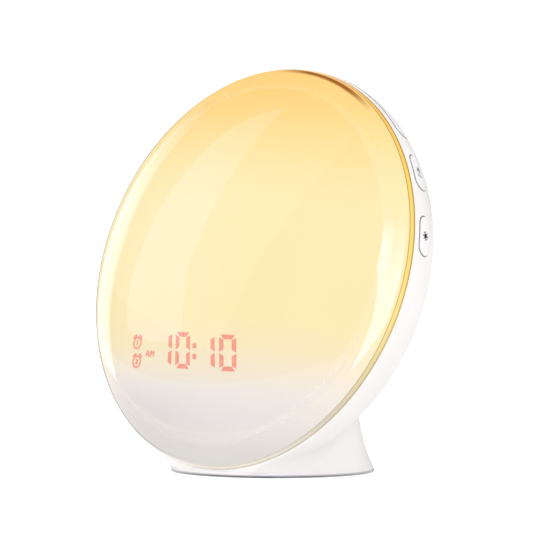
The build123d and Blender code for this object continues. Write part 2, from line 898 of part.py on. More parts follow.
# ------------------------------------------------------------------ tray, main board and their screws
with BuildPart() as mounting_tray:
    add(pegs([disc.offset(-led_board_back)], 2 * tray_radius, -tray_thickness))
    add(pegs(disc_planes(board_post_places, tray_back), post_diameter, -main_board_gap))
    add(blocks(disc_planes(link_place, 0), link_length + 1, link_width + 1, -far), mode=Mode.SUBTRACT)
    add(pegs(disc_planes(tray_screw_places, 0), clearance_diameter, -far), mode=Mode.SUBTRACT)
    post_planes = disc_planes(board_post_places, main_board_front)
    add(pegs(post_planes, pilot_diameter, main_board_gap + 0.8), mode=Mode.SUBTRACT)
finish(mounting_tray, "mounting_tray")

with BuildPart() as tray_screws:
    add(screws(disc_planes(tray_screw_places, led_board_depth), board + tray_thickness + 7))
finish(tray_screws, "tray_screws")

with BuildPart() as main_board:
    with BuildSketch(disc_plane(0, board_rise, main_board_front)):
        RectangleRounded(main_board_width, main_board_height, 3)
    extrude(amount=-board)
    add(pegs(disc_planes(board_post_places, 0), clearance_diameter, -far), mode=Mode.SUBTRACT)
finish(main_board, "main_board")

with BuildPart() as main_board_screws:
    add(screws(disc_planes(board_post_places, main_board_back, -1), board + main_board_gap - 1.2))
finish(main_board_screws, "main_board_screws")

with BuildPart() as board_link:
    link_height = main_board_front - led_board_back
    add(blocks(disc_planes(link_place, led_board_back), link_length, link_width, -link_height))
finish(board_link, "board_link")

with BuildPart() as main_board_chips:
    for (x, y), (width, height, thick) in chips:
        add(blocks(disc_planes([(x, y)], main_board_back), width, height, -thick))
finish(main_board_chips, "main_board_chips")

with BuildPart() as capacitors:
    add(pegs(disc_planes(capacitor_places, main_board_back), capacitor_diameter, -capacitor_height))
finish(capacitors, "capacitors")

# ------------------------------------------------------------------ speaker
with BuildPart() as speaker_gasket_ring:
    add(ring(speaker_radius - 3, speaker_radius, speaker_face, speaker_seat))
finish(speaker_gasket_ring, "speaker_gasket")

cone_edge = speaker_radius - 4.5
basket_back = speaker_face - speaker_depth + speaker_flange
with BuildPart() as speaker_frame:
    with BuildSketch(section):
        with BuildLine():
            Polyline(
                (cone_edge, -speaker_face),
                (speaker_radius, -speaker_face),
                (speaker_radius, -speaker_face + speaker_flange),
                (cone_edge + 0.5, -speaker_face + speaker_flange),
                (speaker_magnet_radius, -basket_back),
                (speaker_magnet_radius - 5, -basket_back),
                (speaker_magnet_radius - 5, -basket_back - 1),
                (speaker_magnet_radius - 0.5, -basket_back - 1),
                (cone_edge - 0.7, -speaker_face + 1.0),
                (cone_edge, -speaker_face + 1.0),
                close=True,
            )
        make_face()
    revolve(axis=axis)
finish(speaker_frame, "speaker_frame")

with BuildPart() as speaker_magnet:
    add(pegs([disc.offset(-basket_back)], 2 * speaker_magnet_radius, 4.5))
finish(speaker_magnet, "speaker_magnet")

with BuildPart() as speaker_terminals:
    add(blocks(disc_planes(terminal_place, basket_back - 1.5), 7, 4, -3.4))
    add(speaker_frame.part, mode=Mode.SUBTRACT)
finish(speaker_terminals, "speaker_terminals")

with BuildPart() as speaker_cone:
    with BuildSketch(section):
        with BuildLine():
            Polyline(
                (0, -speaker_face + 2.6),
                (4, -speaker_face + 3.4),
                (cone_edge - 2.2, -speaker_face + 0.9),
                (cone_edge, -speaker_face + 0.9),
                (cone_edge, -speaker_face + 0.3),
                (cone_edge - 2.4, -speaker_face + 0.3),
                (4, -speaker_face + 2.8),
                (0, -speaker_face + 2.0),
                close=True,
            )
        make_face()
    revolve(axis=axis)
finish(speaker_cone, "speaker_cone")

with BuildPart() as speaker_retainer:
    add(ring(speaker_radius - 3, speaker_screw_radius + 3, speaker_boss_top - 2, speaker_boss_top))
    add(ring(speaker_radius - 3, speaker_radius - 0.5, speaker_boss_top, speaker_face - speaker_flange))
    add(pegs(disc_planes(speaker_screw_places, 0), clearance_diameter, -far), mode=Mode.SUBTRACT)
finish(speaker_retainer, "speaker_retainer")

with BuildPart() as speaker_screws:
    add(screws(disc_planes(speaker_screw_places, speaker_boss_top - 2), 2 + 4))
finish(speaker_screws, "speaker_screws")

# ------------------------------------------------------------------ foot: cover, feet, clock battery
door_plane = Plane(origin=(0, door_y, foot_gap))
door_screw_plane = Plane(origin=(door_length / 2 - 3, door_y, foot_gap + door_thickness))
battery_lead_planes = level_planes([(-battery_lead_x, door_y), (battery_lead_x, door_y)], cell_roof)
with BuildPart() as foot_space:
    with BuildSketch(disc.offset(-lens_band - wall - fit)):
        Circle(far)
    extrude(amount=-far)

with BuildPart() as base_cover:
    with BuildSketch(Plane.XY.offset(foot_gap)):
        with Locations((0, -cover_shift)):
            Ellipse(foot_half_width - wall - cover_side_gap, foot_half_depth - wall - cover_end_gap)
    extrude(amount=cover_thickness)
    add(foot_space.part, mode=Mode.INTERSECT)
    with BuildSketch(door_plane):
        RectangleRounded(door_length + door_frame, door_width + door_frame - 1, 4)
    extrude(amount=cell_roof + cell_well_roof - foot_gap)
    with BuildSketch(door_plane):
        RectangleRounded(door_length + 2 * fit, door_width + 2 * fit, 3)
    extrude(amount=door_thickness, mode=Mode.SUBTRACT)
    add(pegs([door_plane], cell_diameter + 1.0, cell_roof - foot_gap), mode=Mode.SUBTRACT)
    add(pegs([door_screw_plane], pilot_diameter, 4), mode=Mode.SUBTRACT)
    add(pegs(foot_planes, clearance_diameter, -far), mode=Mode.SUBTRACT)
    sink_planes = level_planes(cover_screw_places, 0)
    add(pegs(sink_planes, sink_diameter, cover_top - cover_screw_seat), mode=Mode.SUBTRACT)
    pad_planes = level_planes(foot_places, 0)
    pad_height = foot_gap + foot_pad_recess
    add(pegs(pad_planes, foot_pad_diameter + 2 * fit, pad_height), mode=Mode.SUBTRACT)
    add(pegs(level_planes(power_post_places, cover_top), 5, power_board_height - cover_top))
    add(pegs(level_planes(power_post_places, power_board_height), pilot_diameter, -4), mode=Mode.SUBTRACT)
    add(pegs(battery_lead_planes, thin_lead_diameter + 2 * fit, far), mode=Mode.SUBTRACT)
finish(base_cover, "base_cover")

with BuildPart() as base_screws:
    seats = level_planes(cover_screw_places, cover_top - cover_screw_seat)
    add(screws([-seat for seat in seats], boss_height - 0.5))
finish(base_screws, "base_screws")

with BuildPart() as feet:
    add(pegs(pad_planes, foot_pad_diameter, pad_height))
finish(feet, "feet")

with BuildPart() as battery_door:
    with BuildSketch(door_plane):
        RectangleRounded(door_length, door_width, 3)
    extrude(amount=door_thickness)
    door_sink = door_screw_plane.offset(-door_thickness)
    add(pegs([door_sink], clearance_diameter, far), mode=Mode.SUBTRACT)
    add(pegs([door_sink], sink_diameter, door_screw_head), mode=Mode.SUBTRACT)
finish(battery_door, "battery_door")

with BuildPart() as battery_door_screw:
    add(pegs([door_sink], screw_head_diameter, door_screw_head))
    add(pegs([door_sink.offset(door_screw_head)], screw_diameter, 4))
    add(blocks([door_sink], 3.4, screw_slot, 0.4), mode=Mode.SUBTRACT)
finish(battery_door_screw, "battery_door_screw")

with BuildPart() as coin_cell:
    add(pegs([door_plane.offset(door_thickness + 0.1)], cell_diameter, cell_height))
    fillet(coin_cell.edges().filter_by(GeomType.CIRCLE), 0.4)
finish(coin_cell, "coin_cell")

contact_plane = Plane(origin=(0, door_y, cell_base + cell_height))
with BuildPart() as battery_contacts:
    add(blocks([contact_plane], contact_length, contact_width, cell_roof - cell_base - cell_height))
finish(battery_contacts, "battery_contact")

# ------------------------------------------------------------------ foot: power board, DC inlet
with BuildPart() as power_board:
    with BuildSketch(Plane(origin=(0, power_board_y, power_board_height))):
        RectangleRounded(power_board_width, power_board_length, 2)
    extrude(amount=board)
    add(pegs(level_planes(power_post_places, 0), clearance_diameter, far), mode=Mode.SUBTRACT)
finish(power_board, "power_board")

with BuildPart() as power_board_screws:
    add(screws(level_planes(power_post_places, power_board_top), board + 3))
finish(power_board_screws, "power_board_screws")

with BuildPart() as dc_jack_body:
    body_plane = Plane(origin=(0, jack_back, jack_height), x_dir=(1, 0, 0), z_dir=(0, -1, 0))
    add(blocks([body_plane], jack_width, jack_width, jack_length))
    add(pegs([body_plane], jack_barrel, jack_back - jack_mouth))
    mouth_plane = Plane(origin=(0, jack_mouth, jack_height), x_dir=(1, 0, 0), z_dir=(0, -1, 0))
    add(pegs([mouth_plane], jack_bore, jack_bore_depth), mode=Mode.SUBTRACT)
finish(dc_jack_body, "dc_jack_body")

with BuildPart() as dc_jack_pin:
    add(pegs([mouth_plane.offset(0.8)], jack_pin, jack_bore_depth - 0.8))
    fillet(dc_jack_pin.edges().filter_by(GeomType.CIRCLE).sort_by(Axis.Y)[-1], 0.5)
finish(dc_jack_pin, "dc_jack_pin")

# ------------------------------------------------------------------ leads
power_socket = [(power_lead_x, power_socket_y)]
main_sockets = disc_planes([(power_lead_x, main_socket_y)] + terminal_place, main_board_back)
with BuildPart() as lead_sockets:
    add(blocks(level_planes(power_socket, power_board_top), socket_width, 5, socket_height))
    add(blocks(main_sockets, socket_width, 5, -socket_height))
finish(lead_sockets, "lead_sockets")

lead_start = Vector(power_lead_x, power_socket_y, power_board_top + socket_height)
lead_end = disc_point(power_lead_x, main_socket_y, main_board_back + socket_height)
with BuildPart() as power_lead:
    with BuildLine() as route:
        FilletPolyline(
            lead_start,
            lead_start + Vector(0, 0, 12),
            lead_end - outward * 6,
            lead_end,
            radius=4,
        )
    with BuildSketch(Plane(origin=route.line @ 0, z_dir=route.line % 0)):
        Circle(lead_diameter / 2)
    sweep()
finish(power_lead, "power_lead")

speaker_lead_places = [(side * thin_lead_diameter, terminal_reach) for side in (-1, 1)]
speaker_lead_start = main_board_back + socket_height
with BuildPart() as speaker_lead:
    lead_planes = disc_planes(speaker_lead_places, speaker_lead_start)
    add(pegs(lead_planes, thin_lead_diameter, speaker_lead_start - basket_back + 1.5))
finish(speaker_lead, "speaker_lead")


def battery_lead(x):
    """Lead from the contact, over the edge of the power board."""
    rise = Vector(0, 0, power_board_height)
    contact = Vector(x, door_y, cell_roof)
    pad = Vector(x, power_board_y - power_board_length / 2 + 4, power_board_top)
    with BuildPart() as lead:
        with BuildLine() as path:
            FilletPolyline(contact, contact + rise, pad + rise, pad, radius=2)
        with BuildSketch(Plane(origin=path.line @ 0, z_dir=path.line % 0)):
            Circle(thin_lead_diameter / 2)
        sweep()
    return lead.part


with BuildPart() as battery_leads:
    for side in (-1, 1):
        add(battery_lead(side * battery_lead_x))
finish(battery_leads, "battery_leads")
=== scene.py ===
"""Looks of the sunrise alarm clock: clear cover, glowing diffuser, display, white shell and studio.

Lengths are metres in the frame of the CAD model: the face looks along -Y and leans back.
"""

import math

import bpy
from mathutils import Matrix, Vector
from mathutils.geometry import interpolate_bezier


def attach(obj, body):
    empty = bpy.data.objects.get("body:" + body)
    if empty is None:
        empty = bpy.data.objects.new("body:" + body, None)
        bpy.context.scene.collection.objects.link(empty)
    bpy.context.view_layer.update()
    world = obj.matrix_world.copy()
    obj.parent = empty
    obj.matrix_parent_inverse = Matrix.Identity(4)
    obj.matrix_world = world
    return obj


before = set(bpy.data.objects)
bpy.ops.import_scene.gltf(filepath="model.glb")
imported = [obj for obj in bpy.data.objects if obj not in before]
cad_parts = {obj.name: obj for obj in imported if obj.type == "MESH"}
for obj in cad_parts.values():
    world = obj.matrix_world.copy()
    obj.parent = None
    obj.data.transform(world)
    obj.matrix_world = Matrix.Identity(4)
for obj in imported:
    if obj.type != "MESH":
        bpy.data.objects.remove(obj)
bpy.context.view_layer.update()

MM = 0.001

# ------------------------------------------------------------------ the lamp's own frame
LEAN = math.radians(17.25)
ACROSS = Vector((1, 0, 0))
UPWARD = Vector((0, math.sin(LEAN), math.cos(LEAN)))
OUTWARD = Vector((0, -math.cos(LEAN), math.sin(LEAN)))
SHELL_RADIUS = 87.5 * MM
RIM_FORWARD = 14 * MM  # middle of the disc, in front of the frame's origin
RIM_CLEARANCE = 2.84 * MM  # lowest point of the disc above the table
CENTRE = Vector((0, -RIM_FORWARD, RIM_CLEARANCE + SHELL_RADIUS * math.cos(LEAN)))
FACE_RADIUS = 86.26 * MM  # where the cover's front turns into its side

# Keys in the rim. Angles are from the top, the same to the right and to the left.
UPPER_KEY = math.radians(58.7)
LOWER_KEY = math.radians(78.0)
SNOOZE_END = math.radians(46.0)
KEY_DEPTH = 9.0 * MM  # middle of the keys behind the edge of the cover
KEY_HALF_WIDTH = 4.0 * MM
KEY_STRAIGHT = 4.5 * MM  # half length of a short key between its round ends
SNOOZE_STRAIGHT = SHELL_RADIUS * SNOOZE_END - KEY_HALF_WIDTH


# ------------------------------------------------------------------ material helpers
NOISE_RANGE = (0.3, 0.7)  # nearly all of a noise lies between these


def srgb(red, green, blue):
    """Screen colour, 0 to 255, as the linear colour that the shaders take."""
    def linear(value):
        value /= 255
        return value / 12.92 if value <= 0.04045 else ((value + 0.055) / 1.055) ** 2.4

    return (linear(red), linear(green), linear(blue), 1.0)


class Nodes:
    """A material's node tree, with short calls for the nodes used here."""

    def __init__(self, name):
        self.material = bpy.data.materials.new(name)
        self.material.use_nodes = True
        self.tree = self.material.node_tree
        self.shader = self.tree.nodes["Principled BSDF"]
        self.output = self.tree.nodes["Material Output"]

    def node(self, kind, **settings):
        made = self.tree.nodes.new(kind)
        for key, value in settings.items():
            setattr(made, key, value)
        return made

    def link(self, source, target):
        self.tree.links.new(source, target)

    def put(self, socket, value):
        """Links the value if it is another node's output, and sets it if it is a plain value."""
        if isinstance(value, bpy.types.NodeSocket):
            self.link(value, socket)
        else:
            socket.default_value = value

    def set(self, **values):
        """Shader inputs by name, with _ for a space."""
        for name, value in values.items():
            self.put(self.shader.inputs[name.replace("_", " ")], value)

    def maths(self, operation, first, second=0.0):
        made = self.node("ShaderNodeMath", operation=operation)
        for socket, value in zip(made.inputs, (first, second)):
            self.put(socket, value)
        return made.outputs[0]

    def vectors(self, operation, first, second=None, scale=None):
        made = self.node("ShaderNodeVectorMath", operation=operation)
        self.put(made.inputs[0], first)
        if second is not None:
            self.put(made.inputs[1], second)
        if scale is not None:
            self.put(made.inputs["Scale"], scale)
        return made.outputs["Value" if operation in ("DOT_PRODUCT", "LENGTH") else "Vector"]

    def place(self):
        """Where the point is: the object's own coordinates, which are the frame's."""
        return self.node("ShaderNodeTexCoord").outputs["Object"]

    def along(self, direction, origin=CENTRE):
        """Distance of the point from the origin along a direction."""
        return self.vectors("DOT_PRODUCT", self.vectors("SUBTRACT", self.place(), origin), direction)

    def radius(self):
        """Distance of the point from the lamp's axis."""
        offset = self.vectors("SUBTRACT", self.place(), CENTRE)
        return self.vectors("LENGTH", self.vectors("CROSS_PRODUCT", offset, OUTWARD))

    def spread(self, value, low, high, first=0.0, last=1.0, smooth=True):
        """Maps low..high to first..last, held at the ends."""
        made = self.node("ShaderNodeMapRange", clamp=True)
        made.interpolation_type = "SMOOTHSTEP" if smooth else "LINEAR"
        for socket, item in zip(made.inputs, (value, low, high, first, last)):
            self.put(socket, item)
        return made.outputs[0]

    def ramp(self, value, stops, low, high):
        """Colour by position: stops are (position, colour) between low and high, in rising order."""
        made = self.node("ShaderNodeValToRGB")
        items = made.color_ramp.elements
        while len(items) < len(stops):
            items.new(0.5)
        for item, (position, colour) in zip(items, stops):
            item.position = (position - low) / (high - low)
            item.color = colour
        self.link(self.spread(value, low, high, smooth=False), made.inputs[0])
        return made.outputs[0]

    def mix(self, share, first, second):
        made = self.node("ShaderNodeMix", data_type="RGBA")
        self.put(made.inputs["Factor"], share)
        self.put(made.inputs[6], first)
        self.put(made.inputs[7], second)
        return made.outputs[2]

    def shade(self, colour, share):
        """The colour, darkened to a share of itself."""
        made = self.node("ShaderNodeMix", data_type="RGBA", blend_type="MULTIPLY")
        made.inputs["Factor"].default_value = 1.0
        self.put(made.inputs[6], colour)
        made.inputs[7].default_value = (share, share, share, 1)
        return made.outputs[2]

    def noise(self, scale, detail=3.0, roughness=0.5):
        made = self.node("ShaderNodeTexNoise")
        self.link(self.place(), made.inputs["Vector"])
        made.inputs["Scale"].default_value = scale
        made.inputs["Detail"].default_value = detail
        made.inputs["Roughness"].default_value = roughness
        return made.outputs["Fac"]

    def clouds(self, scale, first, last, detail=2):
        """Value that drifts between first and last in soft clouds."""
        return self.spread(self.noise(scale, detail), *NOISE_RANGE, first, last)

    def bump(self, height, distance, strength):
        made = self.node("ShaderNodeBump")
        made.inputs["Strength"].default_value = strength
        made.inputs["Distance"].default_value = distance
        self.link(height, made.inputs["Height"])
        self.link(made.outputs[0], self.shader.inputs["Normal"])


# ------------------------------------------------------------------ plastics and metals
PLASTIC_IOR = 1.49
COLOUR_CLOUDS = 38  # noise scales, per metre
GLOSS_CLOUDS = 90
METAL_GLOSS_CLOUDS = 160
GLOSS_DRIFT = 0.05  # how far roughness drifts either way
METAL_GLOSS_DRIFT = 0.08
OUTER_SPECULAR = 0.25
GRAIN_STRENGTH = 0.25
METAL_STRENGTH = 0.4
METAL_DEPTH = 0.02 * MM
METAL_DARK = 0.75  # share of its colour that a metal keeps in its dark places

# Painted shade in the gaps round the keys, where shade falls between key and shell.
GAP_MIDDLE = 0.12 * MM  # middle of the gap outside a key's outline
GAP_FULL = 0.1 * MM  # from the middle of the gap: full shade up to here, none beyond the fade
GAP_FADE = 0.42 * MM
GAP_SIDES = (-3.0 * MM, 2.0 * MM)  # across a key: from lighter shade at the back to full at the front
GAP_BACK_SHARE = 0.3
GAP_PAINTED_SHADE = srgb(120, 121, 124)
FOOT_EDGE = (1.7 * MM, 0.8 * MM)  # painted shade darkens the foot between these heights
FOOT_PAINTED_SHADE = srgb(176, 177, 180)


def gap_shade(m):
    """Mask of painted shade: 1 in the gap round every key, darker on the side towards the face, and 0
    elsewhere.
    """
    depth = m.maths("ADD", m.along(OUTWARD), KEY_DEPTH)
    turn = m.maths("ABSOLUTE", m.maths("ARCTAN2", m.along(ACROSS), m.along(UPWARD)))
    nearest = 1.0
    for angle, straight in ((UPPER_KEY, KEY_STRAIGHT), (LOWER_KEY, KEY_STRAIGHT), (0.0, SNOOZE_STRAIGHT)):
        run = m.maths("MULTIPLY", m.maths("SUBTRACT", turn, angle), SHELL_RADIUS)
        past_end = m.maths("MAXIMUM", m.maths("SUBTRACT", m.maths("ABSOLUTE", run), straight), 0.0)
        square = m.maths("ADD", m.maths("POWER", past_end, 2.0), m.maths("POWER", depth, 2.0))
        outline = m.maths("SUBTRACT", m.maths("SQRT", square), KEY_HALF_WIDTH + GAP_MIDDLE)
        nearest = m.maths("MINIMUM", nearest, m.maths("ABSOLUTE", outline))
    line = m.spread(nearest, GAP_FADE, GAP_FULL)
    return m.maths("MULTIPLY", line, m.spread(depth, *GAP_SIDES, GAP_BACK_SHARE, 1.0))


def moulded(name, colour, darker, roughness, grain=2600, depth=0.012 * MM, outer=False):
    """Moulded plastic: a fine spark-eroded grain, with faint clouds in its colour and gloss. The
    outer pieces get painted shade in the gaps round the keys and along the bottom edge of the foot."""
    m = Nodes(name)
    tone = m.mix(m.clouds(COLOUR_CLOUDS, 0.0, 1.0), darker, colour)
    if outer:
        # Painted shade in the gaps round the keys.
        tone = m.mix(gap_shade(m), tone, GAP_PAINTED_SHADE)
        # Painted shade along the bottom edge of the foot, where it meets the table.
        above_table = m.along(Vector((0, 0, 1)), Vector((0, 0, 0)))
        tone = m.mix(m.spread(above_table, *FOOT_EDGE), tone, FOOT_PAINTED_SHADE)
        m.set(Specular_IOR_Level=OUTER_SPECULAR)
    m.set(
        Base_Color=tone,
        Roughness=m.clouds(GLOSS_CLOUDS, roughness - GLOSS_DRIFT, roughness + GLOSS_DRIFT, 3),
        IOR=PLASTIC_IOR,
    )
    m.bump(m.noise(grain, 2), depth, GRAIN_STRENGTH)
    return m.material


def metal(name, colour, roughness, grain=900):
    """Drawn or plated metal with a fine uneven surface."""
    m = Nodes(name)
    uneven = m.noise(grain, 4, 0.6)
    darker = tuple(METAL_DARK * value for value in colour[:3]) + (1,)
    rough, smooth = roughness + METAL_GLOSS_DRIFT, roughness - METAL_GLOSS_DRIFT
    m.set(
        Base_Color=m.mix(m.spread(uneven, 0.25, 0.75), darker, colour),
        Roughness=m.clouds(METAL_GLOSS_CLOUDS, smooth, rough, 3),
        Metallic=1.0,
    )
    m.bump(uneven, METAL_DEPTH, METAL_STRENGTH)
    return m.material


# ------------------------------------------------------------------ glowing face
# Height on the disc (mm) and the colour the face shows there: the lamp's own glow, with painted shade in
# the greyer stops low down.
GLOW = (
    (-80, srgb(214, 209, 203)),
    (-68, srgb(230, 221, 216)),
    (-54, srgb(240, 230, 218)),
    (-44, srgb(247, 232, 203)),
    (-36, srgb(251, 233, 188)),
    (-24, srgb(254, 234, 176)),
    (26, srgb(254, 235, 174)),
    (40, srgb(254, 231, 164)),
    (54, srgb(254, 224, 145)),
    (68, srgb(254, 213, 118)),
    (84, srgb(254, 202, 96)),
)
GLOW_ENDS = (-84 * MM, 88 * MM)
GLOW_LEVEL = 0.57  # light the face gives off itself
STUDIO_LEVEL = 1.05  # light that falls on the face
FACE_ALBEDO = 0.43
# Painted shade at the lower left of the face.
LOW_LEFT_PAINTED_SHADE = srgb(192, 188, 182)
DIM_SHARE = 0.5  # of that painted shade, at the lower left
DIM_HEIGHTS = (-42 * MM, -74 * MM)
DIM_SIDES = (10 * MM, -60 * MM)


def glow_colour(m):
    height = m.along(UPWARD)
    colour = m.ramp(height, [(stop * MM, tone) for stop, tone in GLOW], *GLOW_ENDS)
    # Painted shade towards the lower left.
    low = m.spread(height, *DIM_HEIGHTS)
    left = m.spread(m.along(ACROSS), *DIM_SIDES, 0.0, DIM_SHARE)
    return m.mix(m.maths("MULTIPLY", low, left), colour, LOW_LEFT_PAINTED_SHADE)


def glow_material():
    m = Nodes("milky_glow")
    colour = glow_colour(m)
    m.set(Base_Color=m.shade(colour, FACE_ALBEDO), Roughness=0.42, IOR=PLASTIC_IOR)
    m.set(Emission_Color=colour, Emission_Strength=GLOW_LEVEL)
    m.bump(m.noise(1800, 2), 0.008 * MM, 0.3)
    return m.material


def segment_material():
    m = Nodes("lit_coral")
    colour = m.mix(m.clouds(700, 0.0, 1.0), srgb(246, 146, 124), srgb(250, 162, 138))
    m.set(Base_Color=m.shade(colour, FACE_ALBEDO), Roughness=0.4, IOR=PLASTIC_IOR)
    m.set(Emission_Color=colour, Emission_Strength=GLOW_LEVEL)
    return m.material


# ------------------------------------------------------------------ clear cover
# Height on the disc (mm) and the colours of the side band, all painted light: its glowing middle and its
# darker edges of painted shade.
BAND_PAINTED_GLOW = (
    (-84, srgb(232, 226, 212)),
    (-62, srgb(214, 204, 184)),
    (-44, srgb(226, 208, 160)),
    (-16, srgb(252, 226, 138)),
    (40, srgb(250, 216, 108)),
    (84, srgb(240, 182, 84)),
)
BAND_PAINTED_SHADE = (
    (-84, srgb(196, 188, 172)),
    (-50, srgb(184, 168, 132)),
    (-20, srgb(206, 166, 84)),
    (40, srgb(178, 132, 56)),
    (84, srgb(150, 96, 34)),
)
BAND_ENDS = (-88 * MM, 88 * MM)
# Where each zone starts and where it is full, measured outward along the lamp's axis.
BAND = (0.5 * MM, 0.1 * MM)
INNER_EDGE = (-0.35 * MM, 0.0)
OUTER_EDGE = (-1.55 * MM, -2.15 * MM)
CRESCENT_BACK = (0.9 * MM, 1.3 * MM)
CRESCENT_FRONT = (2.9 * MM, 2.1 * MM)
# The dark crescent at the top right, painted shade, by angle from the top.
CRESCENT_LEFT = (math.radians(-6), math.radians(9))
CRESCENT_RIGHT = (math.radians(39), math.radians(24))
CRESCENT_PAINTED_SHADE = srgb(162, 96, 24)
# The grey outline of the shoulder, down the left-hand side, painted shade.
OUTLINE_HEIGHTS = (-80 * MM, -40 * MM)  # between them it moves outward
OUTLINE_PLACES = (0.5 * MM, 1.6 * MM)
OUTLINE_FADE = (1.7 * MM, 0.9 * MM)
OUTLINE_LEFT = (-12 * MM, -44 * MM)
OUTLINE_TOP = (80 * MM, 45 * MM)
OUTLINE_PAINTED_SHADE = srgb(160, 158, 153)
# From the inner radius to the outer one the cover turns from clear to solid, and the solid part carries
# the glow as painted light.
CLEAR_RADIUS = FACE_RADIUS - 11 * MM
SOLID_RADIUS = FACE_RADIUS - 5 * MM
SOLID_WHITE = 0.1  # share of white in the solid part
# The half-clear part lets more light past than its base colour says, so its painted glow starts low.
GLOW_START = 0.4
COVER_IOR = 1.46
COVER_ROUGHNESS = 0.02


def let_light_through(m):
    """Shadow and diffuse rays pass straight through the cover, so what is behind it is lit cleanly."""
    path = m.node("ShaderNodeLightPath")
    passed = m.maths("MAXIMUM", path.outputs["Is Shadow Ray"], path.outputs["Is Diffuse Ray"])
    open_air = m.node("ShaderNodeBsdfTransparent")
    choice = m.node("ShaderNodeMixShader")
    m.link(passed, choice.inputs[0])
    m.link(m.shader.outputs[0], choice.inputs[1])
    m.link(open_air.outputs[0], choice.inputs[2])
    m.link(choice.outputs[0], m.output.inputs["Surface"])


def even_base(m, colour, solid):
    """Base colour with which the clear part and the solid part of the cover look equally bright."""
    own_light = m.maths("MULTIPLY", solid, GLOW_LEVEL)
    wanted = m.vectors("SCALE", colour, scale=m.maths("SUBTRACT", 1.0, own_light))
    seen_through = m.vectors("SCALE", colour, scale=m.maths("SUBTRACT", 1.0, solid))
    fallen_on = m.vectors("SCALE", (STUDIO_LEVEL,) * 3, scale=solid)
    return m.vectors("DIVIDE", wanted, m.vectors("ADD", seen_through, fallen_on))


def cover_material():
    """Clear cover. Near its edge the wall is seen so flatly that the glow behind it is painted onto it
    as its own light. Its side band is a painted golden glow between two lines of painted shade, and
    fades to beige low down."""
    m = Nodes("clear_cover")
    out = m.along(OUTWARD)
    height = m.along(UPWARD)
    side = m.along(ACROSS)

    # Painted light on the side band: a glowing middle between edges of painted shade.
    band_glow = m.ramp(height, [(stop * MM, tone) for stop, tone in BAND_PAINTED_GLOW], *BAND_ENDS)
    dark = m.ramp(height, [(stop * MM, tone) for stop, tone in BAND_PAINTED_SHADE], *BAND_ENDS)
    band = m.spread(out, *BAND)
    inner_edge = m.maths("MULTIPLY", m.spread(out, *INNER_EDGE), band)
    edges = m.maths("MAXIMUM", inner_edge, m.spread(out, *OUTER_EDGE))
    face = m.mix(SOLID_WHITE, glow_colour(m), srgb(255, 255, 255))
    colour = m.mix(band, face, m.mix(edges, band_glow, dark))

    # Painted shade: the dark crescent at the top right of the band.
    turn = m.maths("ARCTAN2", side, height)
    length = m.maths("MULTIPLY", m.spread(turn, *CRESCENT_LEFT), m.spread(turn, *CRESCENT_RIGHT))
    width = m.maths("MULTIPLY", m.spread(out, *CRESCENT_BACK), m.spread(out, *CRESCENT_FRONT))
    colour = m.mix(m.maths("MULTIPLY", length, width), colour, CRESCENT_PAINTED_SHADE)

    # Painted shade: the grey outline down the left-hand side of the shoulder.
    middle = m.spread(height, *OUTLINE_HEIGHTS, *OUTLINE_PLACES)
    away = m.maths("ABSOLUTE", m.maths("SUBTRACT", out, middle))
    length = m.maths("MULTIPLY", m.spread(side, *OUTLINE_LEFT), m.spread(height, *OUTLINE_TOP))
    outline = m.maths("MULTIPLY", m.spread(away, *OUTLINE_FADE), length)
    colour = m.mix(outline, colour, OUTLINE_PAINTED_SHADE)

    # The solid part carries the face's glow as painted light of its own.
    solid = m.maths("MAXIMUM", m.spread(m.radius(), CLEAR_RADIUS, SOLID_RADIUS), band)
    own_level = m.spread(solid, 0, 1, GLOW_START * GLOW_LEVEL, GLOW_LEVEL, smooth=False)
    m.set(
        Base_Color=even_base(m, colour, solid),
        Roughness=COVER_ROUGHNESS,
        IOR=COVER_IOR,
        Transmission_Weight=m.maths("SUBTRACT", 1.0, solid),
        Emission_Color=colour,
        Emission_Strength=m.maths("MULTIPLY", solid, own_level),
    )
    let_light_through(m)
    return m.material


# ------------------------------------------------------------------ materials by node
def dress(piece, material):
    piece.data.materials.clear()
    piece.data.materials.append(material)


WHITE = srgb(246, 243, 242)
WHITE_SHADE = srgb(242, 239, 237)
shell_white = moulded("shell_white", WHITE, WHITE_SHADE, 0.34, outer=True)
key_white = moulded("key_white", srgb(247, 245, 245), srgb(243, 241, 241), 0.3, outer=True)
inner_white = moulded("inner_white", srgb(228, 228, 224), srgb(214, 214, 210), 0.6)
inner_black = moulded("inner_black", srgb(34, 34, 36), srgb(22, 22, 24), 0.45)
board_white = moulded("board_white", srgb(226, 228, 222), srgb(214, 217, 210), 0.35)
board_green = moulded("board_green", srgb(30, 104, 62), srgb(20, 82, 48), 0.3)
phosphor = moulded("phosphor", srgb(250, 222, 120), srgb(244, 208, 96), 0.5)
chip_black = moulded("chip_black", srgb(26, 26, 28), srgb(18, 18, 20), 0.55)
rubber_grey = moulded("rubber_grey", srgb(176, 178, 180), srgb(150, 152, 155), 0.75, depth=0.03 * MM)
foam_black = moulded("foam_black", srgb(30, 30, 32), srgb(18, 18, 20), 0.9, 1400, 0.06 * MM)
ferrite = moulded("ferrite", srgb(56, 56, 60), srgb(42, 42, 46), 0.5)
cone_paper = moulded("cone_paper", srgb(36, 35, 34), srgb(24, 23, 22), 0.85, 900, 0.05 * MM)
wire_red = moulded("wire_red", srgb(170, 36, 30), srgb(148, 26, 22), 0.4)
adhesive = moulded("adhesive_clear", srgb(226, 204, 150), srgb(214, 190, 136), 0.4)
steel = metal("zinc_steel", srgb(196, 197, 200), 0.32)
nickel = metal("nickel_strip", srgb(214, 212, 206), 0.22)
sleeve = metal("capacitor_sleeve", srgb(188, 190, 194), 0.28)
glow = glow_material()
coral = segment_material()
clear = cover_material()

